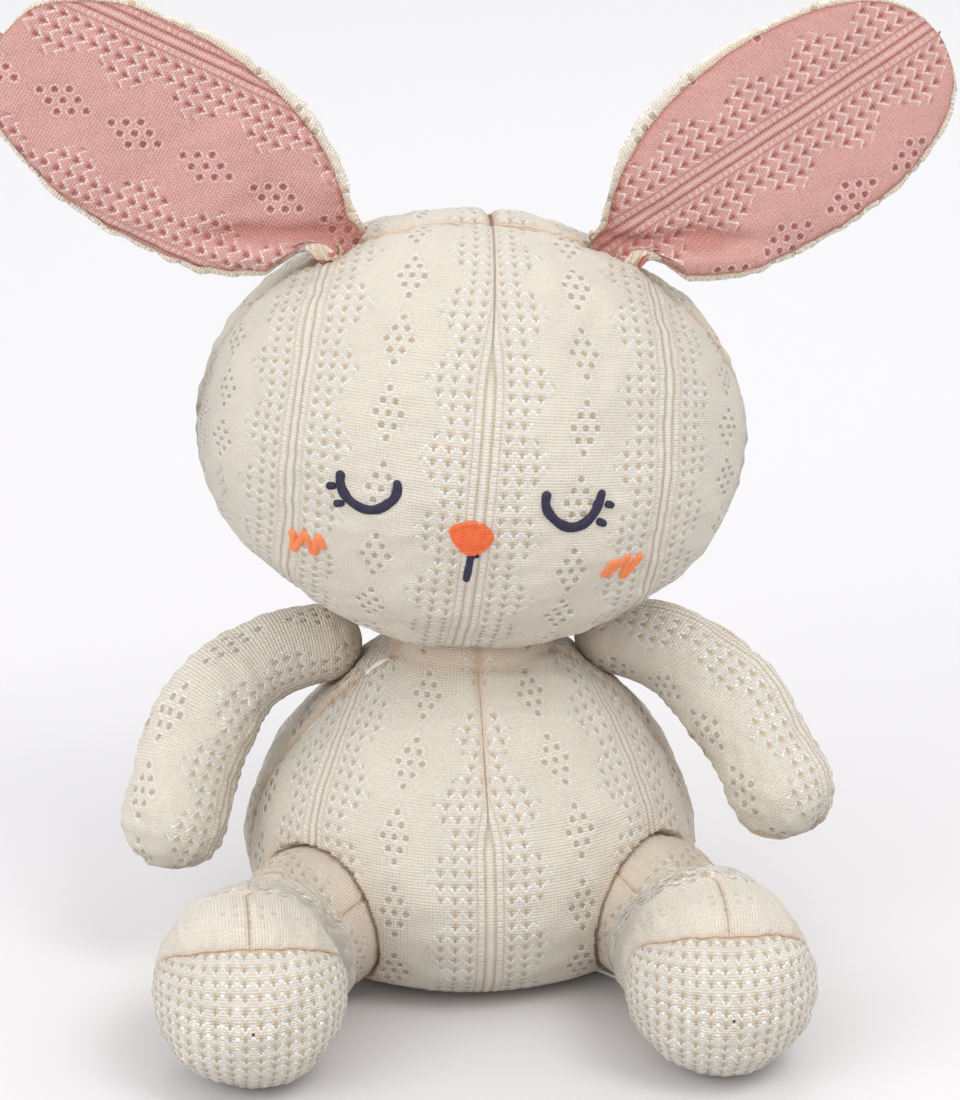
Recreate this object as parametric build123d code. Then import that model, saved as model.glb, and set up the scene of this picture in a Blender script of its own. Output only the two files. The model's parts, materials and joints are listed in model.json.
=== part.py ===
from build123d import *
import math
import os

# Sitting knitted rabbit, stuffed.  Millimetres.  +X is the toy's own left (a viewer's right),
# the face looks along -Y, +Z is up, and the toy sits on the plane z = 0.
os.makedirs("parts", exist_ok=True)

# ---------------------------------------------------------------- driving dimensions
SHIFT = (-1.565, 17.6, 0.0)     # centres the finished toy over the origin
SKIN = 1.8                   # knitted cloth thickness
GAP = 0.2                    # between the cloth and the stuffing
SOCKET = 0.5                 # between two parts that turn against each other

# head: an ovoid, wide in X, leaning to one side
HEAD_C = (0.0, -5.0, 141.5)
HEAD_A = 70.3                # half width
HEAD_B = 56.0                # half height and half depth
HEAD_END_R = 46.0            # roundness of the cheeks
HEAD_ROLL = 5.5              # degrees, the top leans toward +X
HEAD_YAW = -2.5
HEAD_SEAM_Y = -1.5           # the seam over the top of the head, in the head's own frame

# torso: a pear turned about a vertical line
TORSO_C = (0.0, -2.0)
TORSO_PROFILE = [            # (radius, height) of the outer surface, from the flat base up
    (40.0, 0.0), (51.0, 5.6), (57.2, 14.5), (59.8, 27.0), (58.4, 38.0), (54.4, 49.0),
    (47.4, 59.0), (39.4, 68.0), (31.4, 75.6), (23.0, 81.8), (13.0, 86.0), (0.0, 88.0),
]
TORSO_SEAM_Y = -8.0          # the side seams' plane

# neck
NECK_C = (0.0, -2.0, 76.0)
NECK_R = 22.0

# arms: bent sausages, ball at the shoulder
SHOULDER_R = 10.9
ARM = {                      # (centre, radius) from the shoulder to the paw
    "left": [((38.5, 5.0, 80.0), 10.9), ((53.0, -1.2, 77.4), 12.0), ((67.0, -11.8, 67.0), 13.8), ((79.0, -26.0, 48.0), 14.0)],
    "right": [((-38.5, 5.0, 80.0), 10.9), ((-54.5, 0.8, 77.4), 11.6), ((-69.6, -6.8, 64.4), 14.0), ((-78.4, -18.0, 42.0), 14.0)],
}
# legs: short sausages that end in a round foot
HIP_R = 20.0
LEG = {
    "left": [((44.0, -40.6, 21.0), 20.0), ((54.8, -91.0, 24.2), 24.0)],
    "right": [((-44.0, -40.6, 21.0), 20.0), ((-62.5, -88.4, 24.2), 24.0)],
}
LEG_WAIST = 16.6             # the leg's radius where it is thinnest, a third of the way down
SOLE_CUT = 15.0              # the sole panel starts this far ahead of the foot's centre

# ears: padded leaves, pinched at the root
EAR_ROOT = {"left": (35.4, -5.5, 189.6), "right": (-32.6, -5.5, 193.6)}
EAR_TILT = 12.0              # the ears look up a little, their lower edges forward
EAR_SWING = (-30.0, 55.0)    # how far back and forward an ear flops
EAR_RISE = {"left": 31.0, "right": 31.5}      # degrees above level
EAR_HALF_WIDTH = [(0.0, 6.5), (5.0, 11.5), (11.0, 17.2), (20.0, 22.6), (31.0, 26.2), (43.0, 27.8), (55.0, 28.0),
                  (68.0, 26.6), (79.0, 24.0), (89.0, 19.2), (96.0, 12.0)]
EAR_LENGTH = 99.0
EAR_THICK = 9.0
EAR_ROOT_R = 4.4

# tail and label
TAIL_C = (0.0, 66.0, 27.0)
TAIL_R = 14.0

# embroidery, in the head's own x and z
THREAD_H = 0.9
STITCH_W = 2.2


# ---------------------------------------------------------------- helpers
def vec(p):
    return Vector(*p)


def ball(c, r):
    return Pos(*c) * Sphere(r)


def limb_line(stations):
    """Points evenly along a limb's curved middle line, with the radius at each."""
    if len(stations) > 2:
        mid = Spline([c for c, r in stations])
    else:
        mid = Line(stations[0][0], stations[1][0])
    marks = [0.0]
    for (p, _), (q, _) in zip(stations, stations[1:]):
        marks.append(marks[-1] + (vec(q) - vec(p)).length)
    marks = [m / marks[-1] for m in marks]

    def radius(t):
        for i in range(len(marks) - 1):
            if t <= marks[i + 1] or i == len(marks) - 2:
                k = (t - marks[i]) / (marks[i + 1] - marks[i])
                k = min(max(k, 0.0), 1.0)
                k = k * k * (3 - 2 * k)
                r = stations[i][1] * (1 - k) + stations[i + 1][1] * k
                if len(stations) == 2:
                    r = r - (stations[0][1] + 1.2 - LEG_WAIST) * math.exp(-((t - 0.31) / 0.17) ** 2)
                return r

    return mid, radius


def sausage(stations, inset=0.0):
    """A limb with round ends, lofted through circles along its middle line."""
    mid, radius = limb_line(stations)
    rings = []
    start, end = mid @ 0, mid @ 1
    u0, u1 = mid % 0, mid % 1
    r0, r1 = stations[0][1] - inset, stations[-1][1] - inset
    for a in (7, 20, 36, 54, 72):
        t = math.radians(a)
        rings.append((start - u0 * (r0 * math.cos(t)), u0, r0 * math.sin(t)))
    n = 11
    for i in range(n):
        t = i / (n - 1)
        rings.append((mid @ t, mid % t, radius(t) - inset))
    for a in (72, 54, 36, 20, 7):
        t = math.radians(a)
        rings.append((end + u1 * (r1 * math.cos(t)), u1, r1 * math.sin(t)))
    faces = [Plane(origin=c, x_dir=(Vector(0, -1, 0.3) - u * Vector(0, -1, 0.3).dot(u)).normalized(), z_dir=u).location * Circle(r) for c, u, r in rings]
    return loft(faces)


def oval(grow):
    """Half the head's outline: a tight arc at each end and one wide arc between, all tangent."""
    a, b, r = HEAD_A + grow, HEAD_B + grow, HEAD_END_R + grow
    wide = ((a - r) ** 2 + b * b - r * r) / (2 * (b - r))
    c, y = a - r, b - wide
    d = math.hypot(c, y)
    tx, ty = c / d * wide, y - y / d * wide
    half = math.atan2(ty, tx - c) / 2
    mx, my = c + r * math.cos(half), r * math.sin(half)
    return (ThreePointArc((a, 0), (mx, my), (tx, ty)) + ThreePointArc((tx, ty), (0, b), (-tx, ty))
            + ThreePointArc((-tx, ty), (-mx, my), (-a, 0)))


def ovoid(grow=0.0):
    a = HEAD_A + grow
    return revolve(make_face(oval(grow) + Line((-a, 0), (a, 0))), Axis.X, 360)


def ovoid_skin(outer, inner):
    """Only the layer between two sizes of the head."""
    a, b = HEAD_A + outer, HEAD_A + inner
    rim = oval(outer) + Line((-a, 0), (-b, 0)) + oval(inner) + Line((b, 0), (a, 0))
    return revolve(make_face(rim), Axis.X, 360)


def pear_points(inset):
    pts = TORSO_PROFILE
    out = []
    for i, (r, z) in enumerate(pts):
        r0, z0 = pts[max(i - 1, 0)]
        r1, z1 = pts[min(i + 1, len(pts) - 1)]
        tx, tz = r1 - r0, z1 - z0
        n = math.hypot(tx, tz)
        out.append((r - inset * tz / n, z + inset * tx / n))
    if inset:
        out[0] = (pts[0][0] - 0.3 * inset, inset)
        out[-1] = (0.0, pts[-1][1] - inset)
    return out


def pear_curve(inset):
    return Spline([(r, 0, z) for r, z in pear_points(inset)], tangents=[(0.93, 0, 0.36), (-1, 0, 0)])


def pear(inset=0.0):
    """The torso, or the same drawn in by an even distance."""
    pts = pear_points(inset)
    z0, z1 = pts[0][1], pts[-1][1]
    rim = pear_curve(inset) + Line((0, 0, z1), (0, 0, z0)) + Line((0, 0, z0), (pts[0][0], 0, z0))
    return Pos(TORSO_C[0], TORSO_C[1], 0) * Rot(0, 0, 100) * revolve(make_face(rim), Axis.Z, 360)


def pear_skin(outer, inner):
    """Only the layer between two insets."""
    a, b = pear_points(outer), pear_points(inner)
    rim = pear_curve(outer) + Line((0, 0, a[-1][1]), (0, 0, b[-1][1])) + pear_curve(inner)
    rim = rim + Line((b[0][0], 0, b[0][1]), (0, 0, b[0][1])) + Line((0, 0, b[0][1]), (0, 0, a[0][1])) + Line((0, 0, a[0][1]), (a[0][0], 0, a[0][1]))
    return Pos(TORSO_C[0], TORSO_C[1], 0) * Rot(0, 0, 100) * revolve(make_face(rim), Axis.Z, 360)


def slab(x0, x1, y0, y1, z0, z1):
    return Pos((x0 + x1) / 2, (y0 + y1) / 2, (z0 + z1) / 2) * Box(x1 - x0, y1 - y0, z1 - z0)


def half_space(origin, normal, size=400):
    """A block that fills the side of a plane that its normal points to."""
    return Plane(origin=vec(origin), z_dir=vec(normal)).location * (Pos(0, 0, size / 2) * Box(size, size, size))


def ring(c, r, axis, wire=0.8):
    return Plane(origin=vec(c), z_dir=vec(axis)).location * Torus(r, wire)


made = []


def put(name, shape):
    solids = shape.solids()
    if len(solids) != 1:
        solids = sorted(solids, key=lambda s: -s.volume)
        print("note", name, "has", len(solids), "solids", [round(s.volume, 2) for s in solids[:4]])
    piece = Pos(*SHIFT) * solids[0]
    piece.label = name
    export_step(piece, f"parts/{name}.step")
    made.append((name, piece))


# ---------------------------------------------------------------- torso
neck_hole = ball(NECK_C, NECK_R + SOCKET)
limb_balls = [(LEG["left"][0][0], HIP_R), (LEG["right"][0][0], HIP_R), (ARM["left"][0][0], SHOULDER_R), (ARM["right"][0][0], SHOULDER_R)]


def open_torso(shape, extra=0.0):
    """Cuts the sockets that the neck, hips and shoulders sit in."""
    for c, r in limb_balls:
        shape = shape - ball(c, r + SOCKET + extra)
    return shape - ball(NECK_C, NECK_R + SOCKET + extra)



torso_cover = open_torso(pear_skin(0, SKIN))
front = slab(-90, 90, -90, TORSO_SEAM_Y, -1, 120)
back_l = slab(0, 90, TORSO_SEAM_Y, 90, -1, 120)
back_r = slab(-90, 0, TORSO_SEAM_Y, 90, -1, 120)
put("torso_front_panel", torso_cover & front)
put("torso_back_left_panel", torso_cover & back_l)
put("torso_back_right_panel", torso_cover & back_r)

# a flat bag of beads low in the belly keeps the toy upright
BAG_C = (0.0, 6.0, 12.5)
BAG_R, BAG_H = 30.0, 15.0
bag = Pos(*BAG_C) * fillet(Cylinder(BAG_R, BAG_H).edges(), 5.0)
bag_in = Pos(*BAG_C) * fillet(Cylinder(BAG_R - 0.8, BAG_H - 1.6).edges(), 4.2)
beads = Pos(*BAG_C) * fillet(Cylinder(BAG_R - 1.0, BAG_H - 2.0).edges(), 4.0)
bag_hole = Pos(*BAG_C) * fillet(Cylinder(BAG_R + 0.2, BAG_H + 0.4).edges(), 5.2)
put("bead_bag", bag - bag_in)
put("bead_fill", beads)
big_socket = ball(NECK_C, NECK_R + SOCKET + 0.3)
put("torso_stuffing", open_torso(pear(SKIN + GAP), 0.3) - bag_hole)

# tail: a small stuffed ball sewn flat on the back
tail_room = pear(-0.15)
put("tail_cover", ball(TAIL_C, TAIL_R) - ball(TAIL_C, TAIL_R - 1.6) - tail_room)
put("tail_stuffing", ball(TAIL_C, TAIL_R - 1.8) - pear(-0.35))
# the label: a doubled ribbon folded flat on the floor, caught in the base seam
LABEL_AT = (36.5, -34.5, 1.2)
put("care_label", Pos(*LABEL_AT) * Rot(0, 0, 40) * Box(9.0, 12.0, 0.8) - pear(-0.1) - ball(LEG["left"][0][0], HIP_R + SOCKET))

# ---------------------------------------------------------------- neck
# the stuffing that fills the joined necks of head and torso, a full ball so both can turn on it
neck = ball(NECK_C, NECK_R)
neck_ring_z = 9.6
neck_ring_r = math.sqrt(NECK_R ** 2 - neck_ring_z ** 2)
neck_ring = ring((NECK_C[0], NECK_C[1], NECK_C[2] + neck_ring_z), neck_ring_r - 1.0, (0, 0, 1), 0.9)
put("neck_stuffing", neck - ring((NECK_C[0], NECK_C[1], NECK_C[2] + neck_ring_z), neck_ring_r - 1.0, (0, 0, 1), 1.0))
put("neck_thread", neck_ring)

# ---------------------------------------------------------------- head
head_at = Pos(*HEAD_C) * Rot(0, 0, HEAD_YAW) * Rot(0, HEAD_ROLL, 0)
head_shell = ovoid_skin(0, -SKIN)


def ear_frame(side):
    rise = math.radians(EAR_RISE[side])
    sx = 1 if side == "left" else -1
    d = Vector(sx * math.cos(rise), 0, math.sin(rise))
    g = math.radians(EAR_TILT)
    f = Vector(0, -math.cos(g), math.sin(g))
    d = (d - f * d.dot(f)).normalized()
    return Plane(origin=vec(EAR_ROOT[side]), x_dir=d, z_dir=f)


def ear_slot(side, r):
    return ear_frame(side).location * (Rot(90, 0, 0) * Cylinder(r, 16.4 + 2 * (r - EAR_ROOT_R)))


slots = ear_slot("left", EAR_ROOT_R + SOCKET) + ear_slot("right", EAR_ROOT_R + SOCKET)
shell = (head_at * head_shell) - neck_hole - slots
face_side = head_at * slab(-90, 90, -90, HEAD_SEAM_Y, -90, 90)
rear_l = head_at * slab(0, 90, HEAD_SEAM_Y, 90, -90, 90)
rear_r = head_at * slab(-90, 0, HEAD_SEAM_Y, 90, -90, 90)
put("head_front_panel", shell & face_side)
put("head_back_left_panel", shell & rear_l)
put("head_back_right_panel", shell & rear_r)

# a soft sheet behind the embroidery, between the face panel and the stuffing
sheet_zone = Pos(0, -60, -8) * (Rot(90, 0, 0) * extrude(RectangleRounded(92, 40, 14), 40, both=True))
sheet = ovoid_skin(-SKIN - 0.05, -SKIN - 0.45) & sheet_zone & slab(-90, 90, -90, 0, -90, 90)
put("face_backing", (head_at * sheet) - neck_hole)
head_fill = (head_at * ovoid(-SKIN - 0.65)) - big_socket - ear_slot("left", EAR_ROOT_R + SOCKET + 0.2) - ear_slot("right", EAR_ROOT_R + SOCKET + 0.2)
put("head_stuffing", head_fill)

# embroidery: strokes laid on the curved face, seen straight from the front
stitch_shell = ovoid_skin(THREAD_H, 0.03)


def on_face(sketch):
    prism = Pos(0, -60, 0) * (Rot(90, 0, 0) * extrude(sketch, 45, both=True))
    return head_at * (stitch_shell & prism & slab(-90, 90, -90, -5, -90, 90))


def stroke(points, width, smooth=False):
    line = Spline(points) if smooth else Polyline(points)
    body = trace(line, width)
    for p in ([points[0], points[-1]] if smooth else points):
        body = body + Pos(*p) * Circle(width / 2)
    return body


# FACE_POINTS
EYE_RIGHT = [(-34.5, 2.5), (-34.4, -1.0), (-31.5, -4.6), (-26.9, -6.1), (-22.8, -4.0), (-20.6, -0.6), (-20.9, 2.9)]
LASH_RIGHT = [[(-37.8, -2.4), (-35.2, -1.7)], [(-35.5, -6.4), (-32.7, -5.4)]]
EYE_LEFT = [(16.2, 3.3), (16.1, -0.2), (19.0, -4.5), (22.9, -6.5), (26.8, -5.1), (29.1, -1.8), (30.2, 3.3)]
LASH_LEFT = [[(31.0, -0.5), (33.4, -0.9)], [(29.2, -4.7), (31.9, -5.9)]]
NOSE = [(-7.1, -8.2), (-2.6, -5.5), (3.4, -7.8), (-0.4, -15.0)]
MOUTH = [(-1.1, -15.4), (-1.2, -23.6)]
CHEEK_RIGHT = [(-45.3, -17.9), (-44.3, -24.1), (-41.8, -16.9), (-39.2, -23.7), (-38.3, -16.5), (-36.8, -21.1)]
CHEEK_LEFT = [(35.2, -15.7), (33.3, -22.2), (39.1, -15.4), (38.7, -23.6), (42.7, -15.9)]
# END_FACE_POINTS

eye_r = stroke(EYE_RIGHT, STITCH_W, True)
for s in LASH_RIGHT:
    eye_r = eye_r + stroke(s, STITCH_W * 0.8)
eye_l = stroke(EYE_LEFT, STITCH_W, True)
for s in LASH_LEFT:
    eye_l = eye_l + stroke(s, STITCH_W * 0.8)
put("eye_embroidery_right", on_face(eye_r))
put("eye_embroidery_left", on_face(eye_l))
nose = fillet(make_face(Polyline(NOSE + [NOSE[0]])).vertices(), 1.2)
mouth = stroke(MOUTH, STITCH_W * 0.9) - offset(nose, 0.15)
put("nose_embroidery", on_face(nose))
put("mouth_embroidery", on_face(mouth))
put("cheek_embroidery_right", on_face(stroke(CHEEK_RIGHT, 1.7)))
put("cheek_embroidery_left", on_face(stroke(CHEEK_LEFT, 1.7)))


# ---------------------------------------------------------------- ears
def leaf(inset=0.0):
    top = [(x, w - inset) for x, w in EAR_HALF_WIDTH if w - inset > 0.5]
    tip = (EAR_LENGTH - inset, 0)
    low = [(x, -w) for x, w in reversed(top)]
    if inset:
        top = [(x + (inset if i == 0 else 0), w) for i, (x, w) in enumerate(top)]
        low = [(x, -w) for x, w in reversed(top)]
    rim = Spline(top + [tip] + low) + Line(low[-1], top[0])
    return make_face(rim)


def lens(thick):
    """A shallow lens over the leaf: full thickness in the middle, thin at the rim."""
    edge = 4.4 * thick / EAR_THICK
    rise = (thick - edge) / 2
    reach = EAR_LENGTH / 2 + 2
    rad = (reach ** 2 + rise ** 2) / (2 * rise)
    mid = EAR_LENGTH / 2 - 2
    return ball((mid, 0, thick / 2 - rad), rad) & ball((mid, 0, rad - thick / 2), rad)


def ear(side):
    at = ear_frame(side).location
    blade = extrude(leaf(0), 8, both=True) & lens(EAR_THICK)
    root = Rot(90, 0, 0) * Cylinder(EAR_ROOT_R, 14.0)
    whole = blade + root
    pad = (extrude(leaf(3.0), 8, both=True) & lens(EAR_THICK - 2 * 1.7))
    pad_room = (extrude(leaf(2.8), 8, both=True) & lens(EAR_THICK - 2 * 1.5))
    cloth = whole - pad_room
    front_half = slab(-20, 130, -60, 60, 0, 20)
    back_half = slab(-20, 130, -60, 60, -20, 0)
    # the ear stays clear of the head wherever it flops
    hinge = ear_frame(side)
    turn = Axis(hinge.origin, hinge.y_dir)
    clear = head_at * ovoid(0.6)
    sweeps = [clear] + [clear.rotate(turn, a) for a in (EAR_SWING[0], -20.0, 20.0, 40.0, EAR_SWING[1])]
    sweeps += [clear.rotate(turn, -a) for a in (EAR_SWING[0], 40.0, EAR_SWING[1])]
    rim = at * (Rot(90, 0, 0) * Cylinder(EAR_ROOT_R, 14.0))
    for name, piece in (("inner_panel", cloth & front_half), ("outer_panel", cloth & back_half), ("padding", pad)):
        placed = at * piece
        off = placed
        for c in sweeps:
            off = off - c
        if name != "padding":
            off = off + (placed & rim)
        put(f"ear_{side}_{name}", off)


ear("left")
ear("right")


# ---------------------------------------------------------------- arms
def limb_normal(stations):
    """A direction square to the limb, toward the front."""
    a, b = vec(stations[0][0]), vec(stations[-1][0])
    u = (b - a).normalized()
    f = Vector(0, -1, 0)
    return (f - u * f.dot(u)).normalized()


for side in ("left", "right"):
    st = ARM[side]
    knot_r = 6.0
    cover = sausage(st) - sausage(st, SKIN)
    fill = sausage(st, SKIN + GAP) - ball(st[0][0], knot_r + SOCKET)
    n = limb_normal(st)
    mid = vec(st[1][0]) * 0.5 + vec(st[2][0]) * 0.5
    fr = Plane(origin=mid, z_dir=n)
    put(f"arm_{side}_front_panel", cover & half_space(tuple(mid), tuple(n)))
    put(f"arm_{side}_back_panel", cover & half_space(tuple(mid), tuple(n * -1)))
    put(f"arm_{side}_stuffing", fill)
    # the knot of stuffing and thread that the arm turns on, inside its root
    put(f"shoulder_{side}_knot", ball(st[0][0], knot_r))

# ---------------------------------------------------------------- legs
for side in ("left", "right"):
    st = LEG[side]
    cover = sausage(st) - sausage(st, SKIN)
    foot = vec(st[-1][0])
    aim = Vector(0, -1, 0)
    sole_at = foot + aim * SOLE_CUT
    sole_block = half_space(tuple(sole_at), tuple(aim))
    sole = cover & sole_block
    rest = cover - sole_block
    u = (foot - vec(st[0][0])).normalized()
    out = Vector(u.Y, -u.X, 0).normalized()
    if out.X < 0:
        out = out * -1
    if side == "right":
        out = out * -1
    put(f"leg_{side}_outer_panel", rest & half_space(tuple(foot), tuple(out)))
    put(f"leg_{side}_inner_panel", rest & half_space(tuple(foot), tuple(out * -1)))
    put(f"foot_{side}_sole_panel", sole)
    put(f"leg_{side}_stuffing", sausage(st, SKIN + GAP))

low = [9e9] * 3
high = [-9e9] * 3
for name, piece in made:
    b = piece.bounding_box()
    for i, (p, q) in enumerate(zip(tuple(b.min), tuple(b.max))):
        low[i], high[i] = min(low[i], p), max(high[i], q)
print("pieces", len(made), "box", [round(v, 2) for v in low], [round(v, 2) for v in high])
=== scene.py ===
"""Sitting knitted rabbit: knitted covers, embroidery, floor, light and camera."""
import json
import math

import bpy
import numpy as np
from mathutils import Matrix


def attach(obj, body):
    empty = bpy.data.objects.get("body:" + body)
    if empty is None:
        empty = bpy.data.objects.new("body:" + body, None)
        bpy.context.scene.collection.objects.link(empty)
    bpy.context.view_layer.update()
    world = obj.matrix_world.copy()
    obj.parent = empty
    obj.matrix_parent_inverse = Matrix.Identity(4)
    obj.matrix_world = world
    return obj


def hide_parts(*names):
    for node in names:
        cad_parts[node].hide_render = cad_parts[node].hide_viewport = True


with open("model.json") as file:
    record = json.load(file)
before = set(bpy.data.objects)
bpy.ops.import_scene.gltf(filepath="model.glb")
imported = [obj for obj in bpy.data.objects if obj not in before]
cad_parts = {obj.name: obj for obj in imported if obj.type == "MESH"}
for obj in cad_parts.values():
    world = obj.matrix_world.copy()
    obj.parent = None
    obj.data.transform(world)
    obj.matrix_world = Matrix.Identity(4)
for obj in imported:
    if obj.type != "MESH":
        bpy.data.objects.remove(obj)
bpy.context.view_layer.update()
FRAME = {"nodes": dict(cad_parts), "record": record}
NODES = FRAME["nodes"]

MM = 0.001
SHIFT = np.array([-1.565, 17.6, 0.0])
STEP = 0.62                       # mesh spacing of the covers, mm
rng = np.random.default_rng(7)


# ------------------------------------------------------------------ maths for the knit
class Num:
    """The knit pattern's operations on arrays."""
    floor = staticmethod(np.floor)
    abs = staticmethod(np.abs)
    exp = staticmethod(np.exp)
    cos = staticmethod(np.cos)
    min = staticmethod(np.minimum)
    max = staticmethod(np.maximum)


class X:
    """A value inside a node tree, so the same formulas build shader nodes."""
    tree = None

    def __init__(self, sock):
        self.s = sock

    @staticmethod
    def op(kind, *args):
        n = X.tree.nodes.new("ShaderNodeMath")
        n.operation = kind
        for i, a in enumerate(args):
            if isinstance(a, X):
                X.tree.links.new(a.s, n.inputs[i])
            else:
                n.inputs[i].default_value = float(a)
        return X(n.outputs[0])

    def __add__(self, o): return X.op("ADD", self, o)
    def __radd__(self, o): return X.op("ADD", o, self)
    def __sub__(self, o): return X.op("SUBTRACT", self, o)
    def __rsub__(self, o): return X.op("SUBTRACT", o, self)
    def __mul__(self, o): return X.op("MULTIPLY", self, o)
    def __rmul__(self, o): return X.op("MULTIPLY", o, self)
    def __truediv__(self, o): return X.op("DIVIDE", self, o)
    def __neg__(self): return X.op("MULTIPLY", self, -1.0)


class Sym:
    floor = staticmethod(lambda a: X.op("FLOOR", a))
    abs = staticmethod(lambda a: X.op("ABSOLUTE", a))
    exp = staticmethod(lambda a: X.op("EXPONENT", a))
    cos = staticmethod(lambda a: X.op("COSINE", a))
    min = staticmethod(lambda a, b: X.op("MINIMUM", a, b))
    max = staticmethod(lambda a, b: X.op("MAXIMUM", a, b))


def wrap(a, n, K):
    return a - K.floor(a / n) * n


def bell(a, w, K):
    b = a / w
    return K.exp(-(b * b))


def ramp(a, lo, hi, K):
    """0 below lo, 1 above hi."""
    t = K.min(K.max((a - lo) / (hi - lo), 0.0), 1.0)
    return t * t * (3.0 - 2.0 * t)


def knit(u, v, K, wide=1.0):
    """Height in mm, how far a point is sunk between stitches (the mask for painted shade in the recesses) and how lit
    it is (the mask for a painted highlight on the raised loops), at u across the wales and v along them.
    """
    ub = wrap(u + 25.0, 50.0, K) - 25.0
    a = K.abs(ub)
    edge = 13.6 - 2.6 * K.cos(v * (2 * math.pi / 19.5))
    in_rib = 1.0 - ramp(a, 3.2, 4.2, K)
    in_waffle = ramp(a, 3.2, 4.2, K) * (1.0 - ramp(a - edge, -0.5, 0.7, K))
    smooth = ramp(a - edge, -0.5, 0.7, K)
    # ribs: a flat wale in the middle, a groove painted dark as shade and a chain of loops on each side
    chain = wrap(v, 1.75, K) / 1.75 - 0.5
    loop = 0.55 + 0.45 * K.cos(chain * (2 * math.pi))
    rib = bell(a - 2.35, 0.62 * wide, K) * loop + bell(a, 0.55 * wide, K) * 0.7
    groove = bell(a - 1.2, 0.36 * wide, K) + bell(a - 3.5, 0.4 * wide, K) * 0.55
    # waffle: V-shaped loops with a pocket under each
    cx = K.abs(wrap(a - 3.4, 3.75, K) / 3.75 - 0.5)
    cy = wrap(v, 3.45, K) / 3.45 - 0.5
    vee = bell(cy + 0.35 - 1.3 * cx, 0.13 * wide, K)
    side = bell(cx - 0.5, 0.12 * wide, K)
    py = cy - 0.1 - 0.6 * cx
    pocket = K.exp(-(bell_in(cx, 0.19 * wide) + bell_in(py, 0.25 * wide)))
    # lace diamonds half way between the ribs
    l = wrap(u, 50.0, K) - 25.0
    t = wrap(v + 9.75, 19.5, K) - 9.75
    p = (l / 1.6 + t / 3.16) * 0.5
    q = (t / 3.16 - l / 1.6) * 0.5
    pi_ = K.min(K.max(K.floor(p + 0.5), -1.0), 1.0)
    qi_ = K.min(K.max(K.floor(q + 0.5), -1.0), 1.0)
    dl = l - (pi_ - qi_) * 1.6
    dt = t - (pi_ + qi_) * 3.16
    d2 = (dl * dl + dt * dt) / (0.78 * 0.78 * wide)
    hole = K.exp(-(d2 * d2))
    rim = K.exp(-(bell_in(d2 - 2.6, 1.2)))
    frame = K.abs(l) / 1.6 + K.abs(t) / 3.16
    line = bell(frame - 3.25, 0.22 * wide, K) * ramp(t, -9.0, -2.0, K)
    height = (in_rib * (rib * 0.35 - groove * 0.42) + in_waffle * (vee * 0.3 + side * 0.1 - pocket * 0.42)
              + smooth * (rim * 0.12 - hole * 0.85 - line * 0.08))
    # painted shade: sunk darkens the rib grooves, the waffle pockets and the lace holes
    sunk = in_rib * groove * 0.75 + in_waffle * pocket + smooth * (hole + line * 0.1)
    # painted highlight: lit brightens the V loops, the rib loops and the lace rims
    lit = in_waffle * vee + in_rib * rib * 0.55 + smooth * rim * 0.45
    return height, sunk, lit


def bell_in(a, w):
    b = a / w
    return b * b


def fine(u, v, K):
    """Single stitches: small Vs in columns."""
    cx = K.abs(wrap(u, 0.95, K) / 0.95 - 0.5)
    cy = wrap(v + cx * 0.9, 0.8, K) / 0.8 - 0.5
    return (0.5 + 0.5 * K.cos(cy * (2 * math.pi))) * (1.0 - bell(cx, 0.13, K)) * (1.0 - bell(cx - 0.5, 0.1, K) * 0.6)


# ------------------------------------------------------------------ materials
def principled(name, colour, rough=0.9, sheen=0.0, sheen_tint=(1, 1, 1), sss=0.0):
    m = bpy.data.materials.new(name)
    m.use_nodes = True
    b = m.node_tree.nodes["Principled BSDF"]
    b.inputs["Base Color"].default_value = (*colour, 1)
    b.inputs["Roughness"].default_value = rough
    b.inputs["Sheen Weight"].default_value = sheen
    b.inputs["Sheen Roughness"].default_value = 0.6
    b.inputs["Sheen Tint"].default_value = (*sheen_tint, 1)
    b.inputs["Specular IOR Level"].default_value = 0.2
    return m, b


def lin(r, g, b):
    def f(c):
        c = c / 255.0
        return c / 12.92 if c <= 0.04045 else ((c + 0.055) / 1.055) ** 2.4
    return (f(r), f(g), f(b))


# high: painted highlight colour; mid: the yarn's own colour; low: painted shade colour of the recesses; the fourth
# colour: painted warm shade in seams, creases and contacts
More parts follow.
